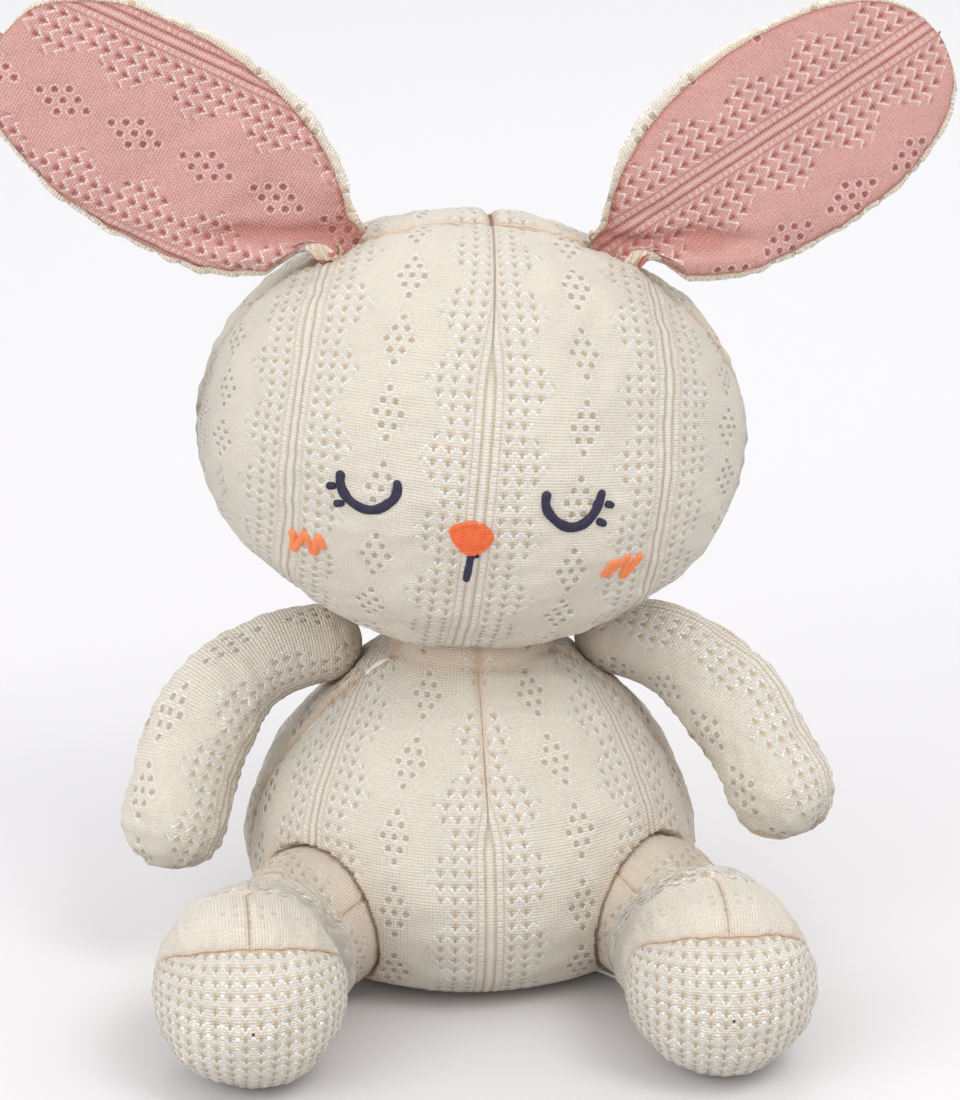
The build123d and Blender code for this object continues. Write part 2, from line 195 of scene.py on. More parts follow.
def knit_material(name, high, mid, low, crease_shade_colour, sheen):
    m, b = principled(name, high, 0.92, sheen, tuple(min(1.0, c * 1.2) for c in high))
    t = m.node_tree
    X.tree = t

    def attr(n):
        a = t.nodes.new("ShaderNodeAttribute")
        a.attribute_type = "GEOMETRY"
        a.attribute_name = n
        return X(a.outputs["Fac"])

    u, v, crease, amp = attr("fu"), attr("fv"), attr("crease"), attr("amp")
    height, sunk, lit = knit(u, v, Sym)
    height, sunk, lit = height * amp, sunk * amp, lit * amp
    tiny = fine(u, v, Sym)
    coord = t.nodes.new("ShaderNodeTexCoord")
    noise = t.nodes.new("ShaderNodeTexNoise")
    noise.inputs["Scale"].default_value = 60
    noise.inputs["Detail"].default_value = 3
    t.links.new(coord.outputs["Object"], noise.inputs["Vector"])
    fuzz = t.nodes.new("ShaderNodeTexNoise")
    fuzz.inputs["Scale"].default_value = 1600
    fuzz.inputs["Detail"].default_value = 2
    t.links.new(coord.outputs["Object"], fuzz.inputs["Vector"])
    fz = X(fuzz.outputs["Fac"])
    # painted shade: darker in the pockets, grooves and holes and between the fine stitches, plus a random fuzz tone
    dark = Sym.min(sunk * 0.95 + (1.0 - tiny) * 0.36 + (fz - 0.5) * 0.5 - 0.06, 1.0)
    dark = Sym.max(dark, 0.0)

    def mix(fac, a, bcol):
        n = t.nodes.new("ShaderNodeMix")
        n.data_type = "RGBA"
        t.links.new(fac.s, n.inputs[0])
        for i, c in ((6, a), (7, bcol)):
            if isinstance(c, tuple):
                n.inputs[i].default_value = (*c, 1)
            else:
                t.links.new(c, n.inputs[i])
        return n.outputs[2]

    # the recesses take the low colour, a painted shade
    col = mix(dark, mid, low)
    # painted highlight: the raised loops and fine stitches lightened towards the high colour
    col = mix(Sym.max(Sym.min(lit * 1.1 + tiny * 0.25, 1.0), 0.0), col, high)
    # painted shade: a warm brown in seams, creases and where parts touch, from the crease attribute
    col = mix(Sym.min(crease * 0.6, 1.0), col, crease_shade_colour)
    shade = X(noise.outputs["Fac"]) * 0.14 + 0.93
    hsv = t.nodes.new("ShaderNodeHueSaturation")
    t.links.new(shade.s, hsv.inputs["Value"])
    t.links.new(col, hsv.inputs["Color"])
    t.links.new(hsv.outputs["Color"], b.inputs["Base Color"])
    bump = t.nodes.new("ShaderNodeBump")
    bump.inputs["Distance"].default_value = 0.001
    bump.inputs["Strength"].default_value = 1.0
    total = height * 0.95 + lit * 0.22 + tiny * 0.42 + fz * 0.3
    t.links.new(total.s, bump.inputs["Height"])
    t.links.new(bump.outputs["Normal"], b.inputs["Normal"])
    return m


# each knit: painted highlight colour, yarn colour, painted recess shade colour, painted warm crease shade colour
CREAM = knit_material("cream knit", lin(255, 253, 247), lin(244, 237, 223), lin(206, 180, 140), lin(216, 166, 118), 0.2)
PINK = knit_material("pink knit", lin(252, 218, 211), lin(230, 178, 168), lin(166, 76, 66), lin(178, 92, 76), 0.15)


def thread_material(name, colour, low):
    m, b = principled(name, colour, 0.55, 0.2, colour)
    t = m.node_tree
    coord = t.nodes.new("ShaderNodeTexCoord")
    noise = t.nodes.new("ShaderNodeTexNoise")
    noise.inputs["Scale"].default_value = 900
    t.links.new(coord.outputs["Object"], noise.inputs["Vector"])
    n = t.nodes.new("ShaderNodeMix")
    n.data_type = "RGBA"
    n.inputs[6].default_value = (*low, 1)
    n.inputs[7].default_value = (*colour, 1)
    t.links.new(noise.outputs["Fac"], n.inputs[0])
    t.links.new(n.outputs[2], b.inputs["Base Color"])
    return m


NAVY = thread_material("navy thread", lin(66, 62, 84), lin(34, 32, 48))
ORANGE = thread_material("orange thread", lin(240, 134, 84), lin(206, 84, 42))
APRICOT = thread_material("apricot thread", lin(248, 158, 108), lin(226, 118, 72))
PLAIN = {}
for slot, (colour, rough) in {
    "polyester_filling": (lin(244, 244, 240), 1.0), "bag_cloth": (lin(232, 228, 218), 0.9), "plastic_beads": (lin(235, 235, 232), 0.4),
    "label_ribbon": (lin(247, 247, 244), 0.55), "backing_cloth": (lin(240, 238, 230), 0.9), "cream_thread": (lin(238, 228, 206), 0.7),
}.items():
    PLAIN[slot] = principled(slot, colour, rough)[0]


# ------------------------------------------------------------------ meshes
def lumps(p, size=25.0, count=10, seed=3):
    """A smooth uneven field about one unit high."""
    r = np.random.default_rng(seed)
    out = np.zeros(p.shape[:-1])
    for _ in range(count):
        k = r.normal(size=3)
        k = k / np.linalg.norm(k) * 2 * math.pi / (size * r.uniform(0.7, 1.6))
        out += np.sin(p @ k + r.uniform(0, 6.28))
    return out / math.sqrt(count / 2)


def outward(p, around):
    """Unit normals of a grid of points, facing away from a point or a line of points."""
    du, dv = np.gradient(p, axis=0), np.gradient(p, axis=1)
    n = np.cross(du, dv)
    length = np.linalg.norm(n, axis=-1, keepdims=True)
    away = p - around
    n = np.where(length > 1e-7, n / np.maximum(length, 1e-9), away / np.maximum(np.linalg.norm(away, axis=-1, keepdims=True), 1e-9))
    if np.sum(n * away) < 0:
        n = -n
        return n, True
    return n, False


class Build:
    """Collects grids into one mesh."""

    def __init__(self, name):
        self.name, self.v, self.f, self.u, self.w, self.c, self.a, self.n = name, [], [], [], [], [], [], 0

    def grid(self, p, u, v, crease, flip=False, wrap_cols=False, amp=1.0):
        r, c = p.shape[:2]
        idx = np.arange(r * c).reshape(r, c) + self.n
        if wrap_cols:
            idx = np.concatenate([idx, idx[:, :1]], 1)
        q = np.stack([idx[:-1, :-1], idx[:-1, 1:], idx[1:, 1:], idx[1:, :-1]], -1).reshape(-1, 4)
        if flip:
            q = q[:, ::-1]
        self.v.append(p.reshape(-1, 3))
        self.f.append(q)
        for store, val in ((self.u, u), (self.w, v), (self.c, crease), (self.a, amp)):
            store.append(np.broadcast_to(val, (r, c)).reshape(-1))
        self.n += r * c

    def done(self, material, body, slot, *nodes, fill=None, weld=True):
        v = (np.concatenate(self.v) + SHIFT)
        v[:, 2] = np.maximum(v[:, 2], 0.03)
        f = np.concatenate(self.f)
        me = bpy.data.meshes.new(self.name)
        me.vertices.add(len(v))
        me.vertices.foreach_set("co", (v * MM).astype(np.float32).ravel())
        me.loops.add(len(f) * 4)
        me.loops.foreach_set("vertex_index", f.astype(np.int32).ravel())
        me.polygons.add(len(f))
        me.polygons.foreach_set("loop_start", np.arange(0, len(f) * 4, 4, dtype=np.int32))
        me.update(calc_edges=True)
        # crease carries the mask of painted warm shade in seams, creases and contacts
        for n, val in (("fu", self.u), ("fv", self.w), ("crease", self.c), ("amp", self.a)):
            a = me.attributes.new(n, "FLOAT", "POINT")
            a.data.foreach_set("value", np.concatenate(val).astype(np.float32))
        me.polygons.foreach_set("use_smooth", np.ones(len(f), bool))
        me.validate()
        me.materials.append(material)
        o = bpy.data.objects.new(self.name, me)
        bpy.context.scene.collection.objects.link(o)
        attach(o, body)
        if nodes:
            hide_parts(*nodes)
        return o


def lip(p, n, rows):
    """Adds rows that turn in at the seam edges of a grid. rows: which of 'top', 'bottom', 'left', 'right'."""
    def pad(arr, side, vals):
        for val in vals:
            if side == "top":
                arr = np.concatenate([arr, val[None]], 0)
            if side == "bottom":
                arr = np.concatenate([val[None], arr], 0)
            if side == "right":
                arr = np.concatenate([arr, val[:, None]], 1)
            if side == "left":
                arr = np.concatenate([val[:, None], arr], 1)
        return arr
    pick = {"top": lambda a: a[-1], "bottom": lambda a: a[0], "right": lambda a: a[:, -1], "left": lambda a: a[:, 0]}
    for side in rows:
        e, m = pick[side](p), pick[side](n)
        p = pad(p, side, [e - m * 0.9, e - m * 1.8])
        n = pad(n, side, [m, m])
    return p, n


def grow_edges(arr, rows):
    for side in rows:
        for _ in range(2):
            if side == "top":
                arr = np.concatenate([arr, arr[-1:]], 0)
            if side == "bottom":
                arr = np.concatenate([arr[:1], arr], 0)
            if side == "right":
                arr = np.concatenate([arr, arr[:, -1:]], 1)
            if side == "left":
                arr = np.concatenate([arr[:, :1], arr], 1)
    return arr


def seam(d, along, deep=1.2, width=1.3):
    """Sinking and painted warm shade beside a seam, d mm away; along: mm along the seam, for the puckers."""
    g = np.exp(-(d / width) ** 2)
    wide = np.exp(-(d / 4.0) ** 2)
    puck = np.sin(along * (2 * math.pi / 4.1)) * np.exp(-(d / 3.2) ** 2) * 0.28
    return -deep * g - 0.35 * wide + puck * (1 - g), np.clip(g * 0.9 + wide * 0.12, 0, 1)


def keep_out(p, n, balls, slack=0.45):
    """Dents the cloth in where a limb's ball sits in it."""
    for c, r in balls:
        w = p - np.array(c)
        r = r + slack
        c0 = np.sum(w * w, -1) - r * r
        wn = np.sum(w * n, -1)
        t = wn + np.sqrt(np.maximum(wn * wn - c0, 0))
        p = np.where((c0 < 0)[..., None], p - n * t[..., None], p)
    return p


def spline(points, count, even=True):
    """A natural cubic through points, resampled evenly."""
    pts = np.array(points, float)
    s = np.concatenate([[0], np.cumsum(np.linalg.norm(np.diff(pts, axis=0), axis=1))])
    n = len(s)
    h = np.diff(s)
    A = np.zeros((n, n))
    B = np.zeros((n, pts.shape[1]))
    A[0, 0] = A[-1, -1] = 1
    for i in range(1, n - 1):
        A[i, i - 1], A[i, i], A[i, i + 1] = h[i - 1], 2 * (h[i - 1] + h[i]), h[i]
        B[i] = 6 * ((pts[i + 1] - pts[i]) / h[i] - (pts[i] - pts[i - 1]) / h[i - 1])
    M = np.linalg.solve(A, B)

    def at(x):
        i = np.clip(np.searchsorted(s, x) - 1, 0, n - 2)
        d0, d1 = (x - s[i])[:, None], (s[i + 1] - x)[:, None]
        hh = h[i][:, None]
        return (M[i] * d1 ** 3 + M[i + 1] * d0 ** 3) / (6 * hh) + (pts[i] / hh - M[i] * hh / 6) * d1 + (pts[i + 1] / hh - M[i + 1] * hh / 6) * d0

    x = np.linspace(0, s[-1], 2000)
    dense = at(x)
    if not even:
        return at(np.linspace(0, s[-1], count))
    arc = np.concatenate([[0], np.cumsum(np.linalg.norm(np.diff(dense, axis=0), axis=1))])
    want = np.linspace(0, arc[-1], count)
    return np.stack([np.interp(want, arc, dense[:, k]) for k in range(pts.shape[1])], 1)


def sm(x, lo, hi):
    t = np.clip((x - lo) / (hi - lo), 0, 1)
    return t * t * (3 - 2 * t)


# ------------------------------------------------------------------ head
HEAD_C = np.array([0.0, -5.0, 141.5])
HA, HB, HR = 70.3, 56.0, 46.0
WIDE = ((HA - HR) ** 2 + HB * HB - HR * HR) / (2 * (HB - HR))
HX = (HA - HR) / math.hypot(HA - HR, HB - WIDE) * WIDE
PSI = math.asin(HX / WIDE)
S1 = WIDE * PSI
S2 = S1 + HR * (math.pi / 2 - PSI)
roll, yaw = math.radians(5.5), math.radians(-2.5)
RY = np.array([[math.cos(roll), 0, math.sin(roll)], [0, 1, 0], [-math.sin(roll), 0, math.cos(roll)]])
RZ = np.array([[math.cos(yaw), -math.sin(yaw), 0], [math.sin(yaw), math.cos(yaw), 0], [0, 0, 1]])
HEAD_R = RZ @ RY
NECK_C = np.array([0.0, -2.0, 76.0])


def head_profile(s):
    a = np.abs(s)
    x = np.where(a < S1, WIDE * np.sin(a / WIDE), (HA - HR) + HR * np.sin(np.minimum(PSI + (a - S1) / HR, math.pi / 2)))
    r = np.where(a < S1, WIDE * np.cos(a / WIDE) + HB - WIDE, HR * np.cos(np.minimum(PSI + (a - S1) / HR, math.pi / 2)))
    return np.sign(s) * x, np.maximum(r, 0.02)


def head_radius(x):
    a = np.abs(x)
    return np.where(a < HX, np.sqrt(np.maximum(WIDE ** 2 - a ** 2, 0)) + HB - WIDE, np.sqrt(np.maximum(HR ** 2 - (a - (HA - HR)) ** 2, 0.01)))


def to_world(p):
    return p @ HEAD_R.T + HEAD_C


EAR_ROOT = {"left": np.array([35.4, -5.5, 189.6]), "right": np.array([-32.6, -5.5, 193.6])}
EAR_RISE = {"left": 31.0, "right": 31.5}
EAR_TILT = 12.0


def ear_axes(side):
    rise, g = math.radians(EAR_RISE[side]), math.radians(EAR_TILT)
    sx = 1 if side == "left" else -1
    d = np.array([sx * math.cos(rise), 0, math.sin(rise)])
    f = np.array([0, -math.cos(g), math.sin(g)])
    d = d - f * (d @ f)
    d = d / np.linalg.norm(d)
    return d, np.cross(f, d), f


def head_panel(name, s, beta_of, edges, seams, node):
    """s: positions along the head's long axis; beta_of(r): the angles round it, one row of angles for each s."""
    x, r = head_profile(s)
    beta = beta_of(r)                              # (rows, len(s))
    xx, rr = np.broadcast_to(x, beta.shape), np.broadcast_to(r, beta.shape)
    local = np.stack([xx, -rr * np.cos(beta), rr * np.sin(beta)], -1)
    p = to_world(local)
    n, flip = outward(p, HEAD_C)
    b = beta / (math.pi / 2)
    front = np.abs(beta) < math.pi * 0.55
    bb = np.where(front, b, 2 - np.abs(b - 0) if False else np.where(b > 1, 2 - b, b))
    ss = np.broadcast_to(s, beta.shape)
    z = rr * np.sin(beta)
    u = ss * (1 + 0.12 * bb ** 2) + np.sign(ss) * 4 * sm(z, 25, 55)
    v = beta * (0.35 * HB + 0.65 * rr)
    d, along = seams(beta, rr, ss)
    down, crease = seam(d, along)
    h, sunk, _ = knit(u, v, Num, 1.25)
    dart = sm(z, 25, 55) * np.exp(-(ss / 1.3) ** 2) * front
    h = h * (1 - dart)
    # painted shade along the dart
    crease = np.clip(crease + 0.2 * dart, 0, 1)
    disp = h * 0.5 + 0.45 * lumps(p) + 0.18 * lumps(p, 7.0, 12, 5) + down - 0.35 * dart
    q = p + n * disp[..., None]
    # rests round the neck
    w = q - NECK_C
    dist = np.linalg.norm(w, axis=-1, keepdims=True)
    q = np.where(dist < 23.3, NECK_C + w / np.maximum(dist, 1e-6) * 23.3, q)
    near = np.exp(-np.maximum(dist[..., 0] - 23.3, 0) / 2.0)
    # painted shade where the head rests on the neck
    crease = np.clip(crease + near * 0.5, 0, 1)
    # small dents where the ears are sewn in
    for side in ("left", "right"):
        dd, yy, ff = ear_axes(side)
        k = np.clip((q - EAR_ROOT[side]) @ yy, -7.2, 7.2)
        c = EAR_ROOT[side] + k[..., None] * yy
        away = np.linalg.norm(q - c, axis=-1)
        t = np.sqrt(np.maximum(5.2 ** 2 - away ** 2, 0))
        q = q - n * t[..., None]
        # painted shade round the ears' roots
        crease = np.clip(crease + 0.6 * np.exp(-np.maximum(away - 5, 0) / 2.5), 0, 1)
    q, n2 = lip(q, n, edges)
    m = Build(name)
    m.grid(q, grow_edges(u, edges), grow_edges(v, edges), grow_edges(crease, edges), flip, amp=grow_edges(1 - dart, edges))
    return m.done(CREAM, "head", "cream_knit", node, fill=0.9)


def seam_beta(r):
    return np.arccos(np.clip(1.5 / np.maximum(r, 3.0), 0, 1))


def side_seam(beta, r, s):
    d = np.abs(np.abs(np.where(beta > math.pi, beta - 2 * math.pi, beta)) - seam_beta(r)) * r
    return d, s


rows = int(math.pi * HB / STEP)
s_all = np.linspace(-S2 + 0.01, S2 - 0.01, int(2 * S2 / STEP))
t = np.linspace(-1, 1, rows)[:, None]
head_panel("head_front_cover", s_all, lambda r: t * seam_beta(r)[None], ("top", "bottom"), side_seam, "head_front_panel")
tb = np.linspace(0, 1, rows)[:, None]
for side, sx in (("left", 1), ("right", -1)):
    s_half = np.linspace(0.0, S2 - 0.01, int(S2 / STEP)) * sx

    def back_seams(beta, r, s):
        d1, a1 = side_seam(beta, r, s)
        d2 = np.abs(s)
        return np.minimum(d1, d2), np.where(d1 < d2, a1, beta * HB)

    head_panel(f"head_back_{side}_cover", s_half, lambda r: seam_beta(r)[None] + tb * (2 * math.pi - 2 * seam_beta(r)[None]),
               ("top", "bottom", "left"), back_seams, f"head_back_{side}_panel")

# ------------------------------------------------------------------ torso
PROFILE = [(40.0, 0.0), (51.0, 5.6), (57.2, 14.5), (59.8, 27.0), (58.4, 38.0), (54.4, 49.0), (47.4, 59.0), (39.4, 68.0),
           (31.4, 75.6), (23.0, 81.8), (13.0, 86.0), (0.0, 88.0)]
prof = spline(PROFILE, 600)
arc = np.concatenate([[0], np.cumsum(np.linalg.norm(np.diff(prof, axis=0), axis=1))])
want = np.arange(0, arc[-1], STEP)
want = np.append(want, arc[-1] - 0.05)
pr, pz = np.interp(want, arc, prof[:, 0]), np.interp(want, arc, prof[:, 1])
base_r = np.linspace(0.05, 40.0, 24)[:-1]
PR = np.concatenate([base_r, pr])
PZ = np.concatenate([np.zeros(23), pz])
PV = np.concatenate([base_r - 40.0, want])
LIMB_BALLS = [((44.0, -40.6, 21.0), 20.0), ((-44.0, -40.6, 21.0), 20.0), ((38.5, 5.0, 80.0), 10.9), ((-38.5, 5.0, 80.0), 10.9)]


def torso_side(r):
    """The angle from the front at which the side seams run."""
    return math.pi / 2 - np.arcsin(np.clip(6.0 / np.maximum(r, 9.0), -1, 1))


def torso_panel(name, theta, seams, edges, node, sign=1):
    rr = np.broadcast_to(PR[:, None], theta.shape)
    zz = np.broadcast_to(PZ[:, None], theta.shape)
    p = np.stack([rr * np.sin(theta), -2.0 - rr * np.cos(theta), zz], -1)
    n, flip = outward(p, np.array([0, -2.0, 35.0]))
    dart = 12.0 * sm(zz, 45, 85)
    wrapped = np.where(theta > math.pi, theta - 2 * math.pi, theta)
    u = np.sign(wrapped) * (np.abs(wrapped) * rr + dart)
    v = np.broadcast_to(PV[:, None], theta.shape)
    d, along = seams(theta, rr, v)
    base = np.abs(v - 1.0)
    d_base = np.where(v < 1.0, base, base)
    d = np.minimum(d, d_base)
    down, crease = seam(d, along)
    h, sunk, _ = knit(u, v, Num, 1.25)
    middle = sm(zz, 40, 70) * np.exp(-(wrapped * rr / 1.3) ** 2)
    h = h * (1 - middle)
    # painted shade along the middle front line
    crease = np.clip(crease + 0.45 * middle, 0, 1)
    disp = -0.7 * middle + h * 0.5 + (0.32 * lumps(p, 28, 10, 11) + 0.14 * lumps(p, 7.0, 12, 6) - 0.25) * sm(zz, 0, 8) + down
    q = p + n * disp[..., None]
    # the cloth covers the stuffed neck as a dome
    w = q - NECK_C
    dist = np.linalg.norm(w, axis=-1, keepdims=True)
    q = np.where((dist < 22.3) & (q[..., 2:3] > 70), NECK_C + w / np.maximum(dist, 1e-6) * 22.3, q)
    # painted shade round the neck where the head sits
    crease = np.clip(crease + 0.5 * np.exp(-np.maximum(dist[..., 0] - 22.3, 0) / 2.0), 0, 1)
    # painted shade round the arm and leg joints
    for c, r in LIMB_BALLS:
        away = np.linalg.norm(q - np.array(c), axis=-1) - r
        crease = np.clip(crease + 0.7 * np.exp(-np.maximum(away, 0) / 2.2), 0, 1)
    q = keep_out(q, n, LIMB_BALLS)
    q, _ = lip(q, n, edges)
    m = Build(name)
    m.grid(q, grow_edges(u, edges), grow_edges(v, edges), grow_edges(crease, edges), flip, amp=grow_edges(1 - middle, edges))
    return m.done(CREAM, "torso", "cream_knit", node, fill=0.9)


def torso_front_seams(theta, r, v):
    return np.abs(np.abs(theta) - torso_side(r)) * r, v


def torso_back_seams(theta, r, v):
    a = np.abs(theta)
    return np.minimum(np.abs(a - torso_side(r)) * r, np.abs(math.pi - a) * r), v


cols = int(2 * math.pi * 59 / STEP)
t = np.linspace(-1, 1, cols // 2)[None]
torso_panel("torso_front_cover", t * torso_side(PR)[:, None], torso_front_seams, ("left", "right"), "torso_front_panel")
tb = np.linspace(0, 1, cols // 4)[None]
for side, sx in (("left", 1), ("right", -1)):
    lo = torso_side(PR)[:, None]
    torso_panel(f"torso_back_{side}_cover", sx * (lo + tb * (math.pi - 1e-4 - lo)), torso_back_seams, ("left", "right"), f"torso_back_{side}_panel")

# tail
m = Build("tail_knit")
ph = np.linspace(0.02, math.pi - 0.02, int(44 / STEP))[:, None]
th = np.linspace(0, 2 * math.pi, int(88 / STEP), endpoint=False)[None]
unit = np.stack([np.sin(ph) * np.cos(th), np.broadcast_to(np.cos(ph), (len(ph), th.shape[1])) * 1.0, np.sin(ph) * np.sin(th)], -1)
p = np.array([0, 66.0, 27.0]) + unit * 14.0
u, v = (th - math.pi) * 14.0 * np.sin(ph) + 12, ph * 14.0 + 0 * th
h, sunk, _ = knit(u, v, Num, 1.25)
p = p + unit * (h * 0.6 + 0.5 * lumps(p, 12, 8, 21))[..., None]
# painted shade where the tail meets the body
crease = 0.8 * np.exp(-np.maximum(p[..., 1] - 58.5, 0) / 2.0)
m.grid(p, u, v, crease, outward(p, np.array([0, 66.0, 27.0]))[1], wrap_cols=True)
m.done(CREAM, "torso", "cream_knit", "tail_cover", fill=0.9)

# ------------------------------------------------------------------ limbs
ARM = {
    "left": [((38.5, 5, 80), 10.9), ((53, -1.2, 77.4), 12), ((67, -11.8, 67), 13.8), ((79, -26, 48), 14)],
    "right": [((-38.5, 5, 80), 10.9), ((-54.5, 0.8, 77.4), 11.6), ((-69.6, -6.8, 64.4), 14), ((-78.4, -18, 42), 14)],
}
LEG = {"left": [((44, -40.6, 21), 20), ((54.8, -91, 24.2), 24)], "right": [((-44, -40.6, 21), 20), ((-62.5, -88.4, 24.2), 24)]}


def rings(stations, cut=None):
    """Centres, axes and radii of the circles along a limb, with the distance along it."""
    pts = [c for c, r in stations]
    length = sum(math.dist(a, b) for a, b in zip(pts, pts[1:]))
    n = int(length / STEP)
    mid = spline(pts, n) if len(pts) > 2 else np.linspace(pts[0], pts[1], n)
    tan = np.gradient(mid, axis=0)
    tan /= np.linalg.norm(tan, axis=1, keepdims=True)
    marks = np.concatenate([[0], np.cumsum([math.dist(a, b) for a, b in zip(pts, pts[1:])])])
    marks /= marks[-1]
    tt = np.linspace(0, 1, n)
    rad = np.zeros(n)
    rs = [r for c, r in stations]
    for i in range(len(marks) - 1):
        k = np.clip((tt - marks[i]) / (marks[i + 1] - marks[i]), 0, 1)
        k = k * k * (3 - 2 * k)
        inside = (tt >= marks[i]) & (tt <= marks[i + 1] + 1e-9)
        rad[inside] = (rs[i] * (1 - k) + rs[i + 1] * k)[inside]
    if len(pts) == 2:
        rad = rad - (rs[0] + 1.2 - 16.6) * np.exp(-((tt - 0.31) / 0.17) ** 2)
        turn = sm(tt, 0.45, 0.85)[:, None]
        ease = sm(tt, 0.4, 0.86)
        end = np.array(pts[1], float)
        mid = mid.copy()
        mid[:, 0] += (end[0] - mid[:, 0]) * ease
        mid[:, 2] += (end[2] - mid[:, 2]) * ease
        behind = 1 + rs[1] * math.cos(cut) / length
        rad = rad + (rs[1] * math.sin(cut) - np.interp(behind, tt, rad)) * sm(tt, 0.55, behind)
        tan = tan * (1 - turn) + np.array([0, -1.0, 0]) * turn
        tan /= np.linalg.norm(tan, axis=1, keepdims=True)
    r0, r1 = rad[0], rad[-1]
    a0 = np.linspace(0.03, math.pi / 2, int(r0 * 1.57 / STEP))[:-1]
    stop = 0.03 if cut is None else cut
    if stop > math.pi / 2:
        keep = tt <= 1 + r1 * math.cos(stop) / length
        mid, tan, rad = mid[keep], tan[keep], rad[keep]
        a1 = np.zeros(0)
    else:
        a1 = np.linspace(math.pi / 2, stop, max(4, int(r1 * (1.57 - stop) / STEP)))[1:]
    c = np.concatenate([mid[0] - tan[0] * (r0 * np.cos(a0))[:, None], mid, mid[-1] + tan[-1] * (r1 * np.cos(a1))[:, None]])
    ax = np.concatenate([np.repeat(tan[:1], len(a0), 0), tan, np.repeat(tan[-1:], len(a1), 0)])
    rr = np.concatenate([r0 * np.sin(a0), rad, r1 * np.sin(a1)])
    step = np.sqrt(np.sum(np.diff(c, axis=0) ** 2, 1) + np.diff(rr) ** 2)
    return c, ax, rr, np.concatenate([[0], np.cumsum(step)])


def limb_panel(name, ringset, lo, hi, body, node, shift_u=0.0, end_seam=None, seed=1, fill=0.85, avoid=None, edges=("left", "right")):
    c, ax, rr, dist = ringset
    x = np.array([0, -1, 0.3]) - ax * (ax @ np.array([0, -1, 0.3]))[:, None]
    x /= np.linalg.norm(x, axis=1, keepdims=True)
    y = np.cross(ax, x)
    cols = max(8, int(rr.max() * (hi - lo) / STEP))
    phi = np.linspace(lo, hi, cols)[None]
    p = c[:, None] + rr[:, None, None] * (np.cos(phi)[..., None] * x[:, None] + np.sin(phi)[..., None] * y[:, None])
    n, flip = outward(p, c[:, None])
    u = phi * rr.max() * 0.55 + phi * rr[:, None] * 0.45 + shift_u
    v = np.broadcast_to(dist[:, None], u.shape)
    d = np.minimum(phi - lo, hi - phi) * rr[:, None]
    along = v
    if end_seam is not None:
        de = np.abs(dist[:, None] - dist[-1]) + 0 * phi
        along = np.where(de < d, phi * rr.max(), along)
        d = np.minimum(d, de)
    down, crease = seam(d, along, 1.0, 1.1)
    h, sunk, _ = knit(u, v, Num, 1.25)
    disp = h * 0.5 + 0.35 * lumps(p, 20, 8, seed) + 0.16 * lumps(p, 6.0, 10, seed + 9) + down
    root = np.exp(-np.maximum(v - rr.max() * 2.0, 0) / 8.0)
    disp = disp * (1 - root) + np.minimum(disp, -0.35) * root
    crease = np.clip(crease + 0.3 * np.exp(-np.maximum(v - rr.max() * 1.2, 0) / 6.0), 0, 1)
    q = p + n * disp[..., None]
    ed = edges + (("top",) if end_seam is not None else ())
    q, _ = lip(q, n, ed)
    m = Build(name)
    m.grid(q, grow_edges(u, ed), grow_edges(v, ed), grow_edges(crease, ed), flip)
    return m.done(CREAM, body, "cream_knit", node, fill=fill)


